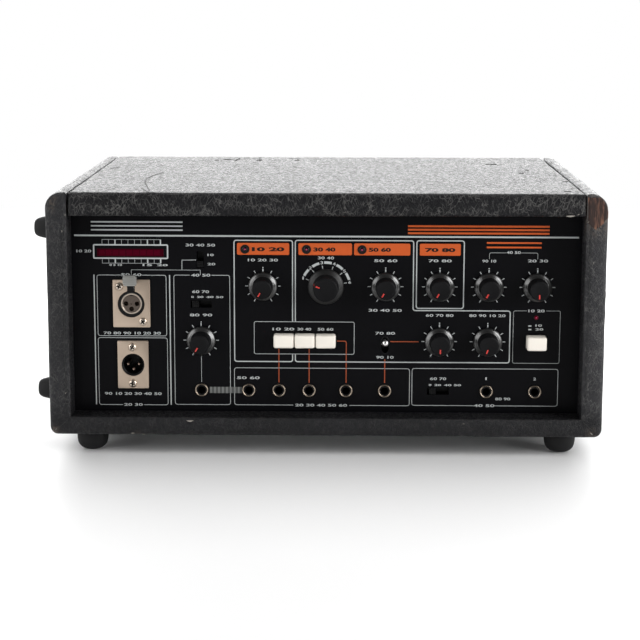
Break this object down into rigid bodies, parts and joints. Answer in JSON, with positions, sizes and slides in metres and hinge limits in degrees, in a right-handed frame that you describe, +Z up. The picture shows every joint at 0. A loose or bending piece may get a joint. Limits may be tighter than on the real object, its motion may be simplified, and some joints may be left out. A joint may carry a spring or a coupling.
{
  "type": "tape echo unit",
  "caption": "Vinyl-covered box-shaped audio echo unit: recessed control panel with knobs, push buttons, sockets and a level window, lift-off lid over a tape deck, strap handle and rubber feet.",
  "frame": {"origin": "on the table, under the middle of the cabinet", "axes": "+X to the right seen from the front, +Y from the front to the back, +Z up"},
  "size_m": [0.474, 0.29, 0.212],
  "materials": {
    "covering": "textured",
    "rubber": "matte",
    "steel": "satin",
    "wood": "raw",
    "pale_plastic": "matte",
    "strap": "textured",
    "dark_metal": "satin",
    "panel": "satin",
    "black_plastic": "satin",
    "meter_red": "gloss",
    "lamp": "gloss",
    "knob": "satin",
    "ivory": "satin",
    "zinc": "satin",
    "chrome": "polished",
    "champagne": "satin",
    "latch_metal": "satin",
    "clear": "clear",
    "brass": "satin",
    "tape": "gloss",
    "board": "matte",
    "aluminium": "turned"
  },
  "bodies": {
    "cabinet": {"left_side": "covering", "right_side": "covering", "bottom_board": "covering", "lid_ledges": "wood", "lid_catches": "pale_plastic", "bottom_feet": "rubber", "side_feet": "rubber", "case_screws": "steel", "handle_strap": "strap", "handle_end_caps": "black_plastic", "rear_panel": "dark_metal", "mains_inlet": "black_plastic", "fuse_cap": "black_plastic", "front_panel": "panel", "meter_window": "meter_red", "indicator_lamps": "lamp", "rotary_controls": "zinc", "switch_bodies": "zinc", "jack_sockets": "black_plastic", "jack_nuts": "champagne", "line_in_connector": "champagne", "line_out_connector": "champagne", "line_out_pins": "champagne", "connector_screws": "champagne", "chassis_tray": "zinc", "deck_plate": "zinc", "tape_chamber": "black_plastic", "chamber_cover": "clear", "tape_heads": "steel", "tape_guides": "steel", "tape_loop": "tape", "drive_motor": "zinc", "drive_belt": "rubber", "main_board": "board", "mains_transformer": "zinc", "reverb_tank": "zinc"},
    "lid": {"top_lid": "covering", "lid_studs": "steel"},
    "input_volume": {"input_volume_knob": "knob"},
    "chorus_intensity": {"chorus_intensity_knob": "knob"},
    "mode_select": {"mode_knob": "knob"},
    "overdub_volume": {"overdub_volume_knob": "knob"},
    "reverb_volume": {"reverb_volume_knob": "knob"},
    "bass_tone": {"bass_knob": "knob"},
    "treble_tone": {"treble_knob": "knob"},
    "echo_intensity": {"echo_intensity_knob": "knob"},
    "repeat_rate": {"repeat_rate_knob": "knob"},
    "function_push_1": {"function_button_1": "ivory"},
    "function_push_2": {"function_button_2": "ivory"},
    "function_push_3": {"function_button_3": "ivory"},
    "power_push": {"power_button": "ivory"},
    "toggle": {"toggle_lever": "chrome"},
    "direct_slide": {"direct_slider": "black_plastic"},
    "input_level_slide": {"input_level_slider": "black_plastic"},
    "output_level_slide": {"output_level_slider": "black_plastic"},
    "latch": {"connector_latch": "latch_metal"},
    "capstan": {"capstan_flywheel": "aluminium"},
    "pulley": {"motor_pulley": "brass"},
    "arm": {"pinch_arm": "brass"},
    "roller": {"pinch_roller": "rubber"}
  },
  "joints": [
    {"name": "lid_lift", "type": "slide", "parent": "cabinet", "child": "lid", "axis": [0, 0, 1], "range_m": [0, 0.06]},
    {"name": "input_volume_turn", "type": "hinge", "parent": "cabinet", "child": "input_volume", "pos_m": [-0.1, -0.134, 0.0905], "axis": [0, 1, 0], "range_deg": [0, 300]},
    {"name": "chorus_intensity_turn", "type": "hinge", "parent": "cabinet", "child": "chorus_intensity", "pos_m": [-0.0502, -0.134, 0.135], "axis": [0, 1, 0], "range_deg": [0, 300]},
    {"name": "mode_select_turn", "type": "hinge", "parent": "cabinet", "child": "mode_select", "pos_m": [0, -0.134, 0.135], "axis": [0, 1, 0], "range_deg": [0, 150]},
    {"name": "overdub_volume_turn", "type": "hinge", "parent": "cabinet", "child": "overdub_volume", "pos_m": [0.0476, -0.134, 0.135], "axis": [0, 1, 0], "range_deg": [0, 300]},
    {"name": "reverb_volume_turn", "type": "hinge", "parent": "cabinet", "child": "reverb_volume", "pos_m": [0.0908, -0.134, 0.135], "axis": [0, 1, 0], "range_deg": [0, 300]},
    {"name": "bass_tone_turn", "type": "hinge", "parent": "cabinet", "child": "bass_tone", "pos_m": [0.1298, -0.134, 0.135], "axis": [0, 1, 0], "range_deg": [0, 300]},
    {"name": "treble_tone_turn", "type": "hinge", "parent": "cabinet", "child": "treble_tone", "pos_m": [0.1684, -0.134, 0.135], "axis": [0, 1, 0], "range_deg": [0, 300]},
    {"name": "echo_intensity_turn", "type": "hinge", "parent": "cabinet", "child": "echo_intensity", "pos_m": [0.091, -0.134, 0.0905], "axis": [0, 1, 0], "range_deg": [0, 300]},
    {"name": "repeat_rate_turn", "type": "hinge", "parent": "cabinet", "child": "repeat_rate", "pos_m": [0.1296, -0.134, 0.0905], "axis": [0, 1, 0], "range_deg": [0, 300]},
    {"name": "function_push_1_travel", "type": "slide", "parent": "cabinet", "child": "function_push_1", "axis": [0, 1, 0], "range_m": [0, 0.004], "stiffness_N_per_m": 250},
    {"name": "function_push_2_travel", "type": "slide", "parent": "cabinet", "child": "function_push_2", "axis": [0, 1, 0], "range_m": [0, 0.004], "stiffness_N_per_m": 250},
    {"name": "function_push_3_travel", "type": "slide", "parent": "cabinet", "child": "function_push_3", "axis": [0, 1, 0], "range_m": [0, 0.004], "stiffness_N_per_m": 250},
    {"name": "power_push_travel", "type": "slide", "parent": "cabinet", "child": "power_push", "axis": [0, 1, 0], "range_m": [0, 0.004], "stiffness_N_per_m": 250},
    {"name": "toggle_flip", "type": "hinge", "parent": "cabinet", "child": "toggle", "pos_m": [0.0476, -0.12, 0.0873], "axis": [1, 0, 0], "range_deg": [0, 30]},
    {"name": "direct_slide_travel", "type": "slide", "parent": "cabinet", "child": "direct_slide", "axis": [0, 0, 1], "range_m": [0, 0.007]},
    {"name": "input_level_slide_travel", "type": "slide", "parent": "cabinet", "child": "input_level_slide", "axis": [1, 0, 0], "range_m": [0, 0.009]},
    {"name": "output_level_slide_travel", "type": "slide", "parent": "cabinet", "child": "output_level_slide", "axis": [1, 0, 0], "range_m": [0, 0.009]},
    {"name": "latch_press", "type": "slide", "parent": "cabinet", "child": "latch", "axis": [0, 1, 0], "range_m": [0, 0.0015], "stiffness_N_per_m": 300},
    {"name": "capstan_spin", "type": "hinge", "parent": "cabinet", "child": "capstan", "pos_m": [0.11, -0.0436, 0.144], "axis": [0, 0, 1], "continuous": true},
    {"name": "pulley_spin", "type": "hinge", "parent": "cabinet", "child": "pulley", "pos_m": [0.022, -0.04, 0.142], "axis": [0, 0, 1], "continuous": true},
    {"name": "arm_release", "type": "hinge", "parent": "cabinet", "child": "arm", "pos_m": [0.142, -0.02, 0.165], "axis": [0, 0, 1], "range_deg": [-12, 0], "stiffness_Nm_per_rad": 0.05, "springref_deg": 2.86},
    {"name": "roller_spin", "type": "hinge", "parent": "arm", "child": "roller", "pos_m": [0.11, -0.0285, 0.173], "axis": [0, 0, 1], "continuous": true}
  ],
  "couplings": [
    {"joint": "pulley_spin", "follows": "capstan_spin", "ratio": 6.3333},
    {"joint": "roller_spin", "follows": "capstan_spin", "ratio": -0.27273}
  ]
}
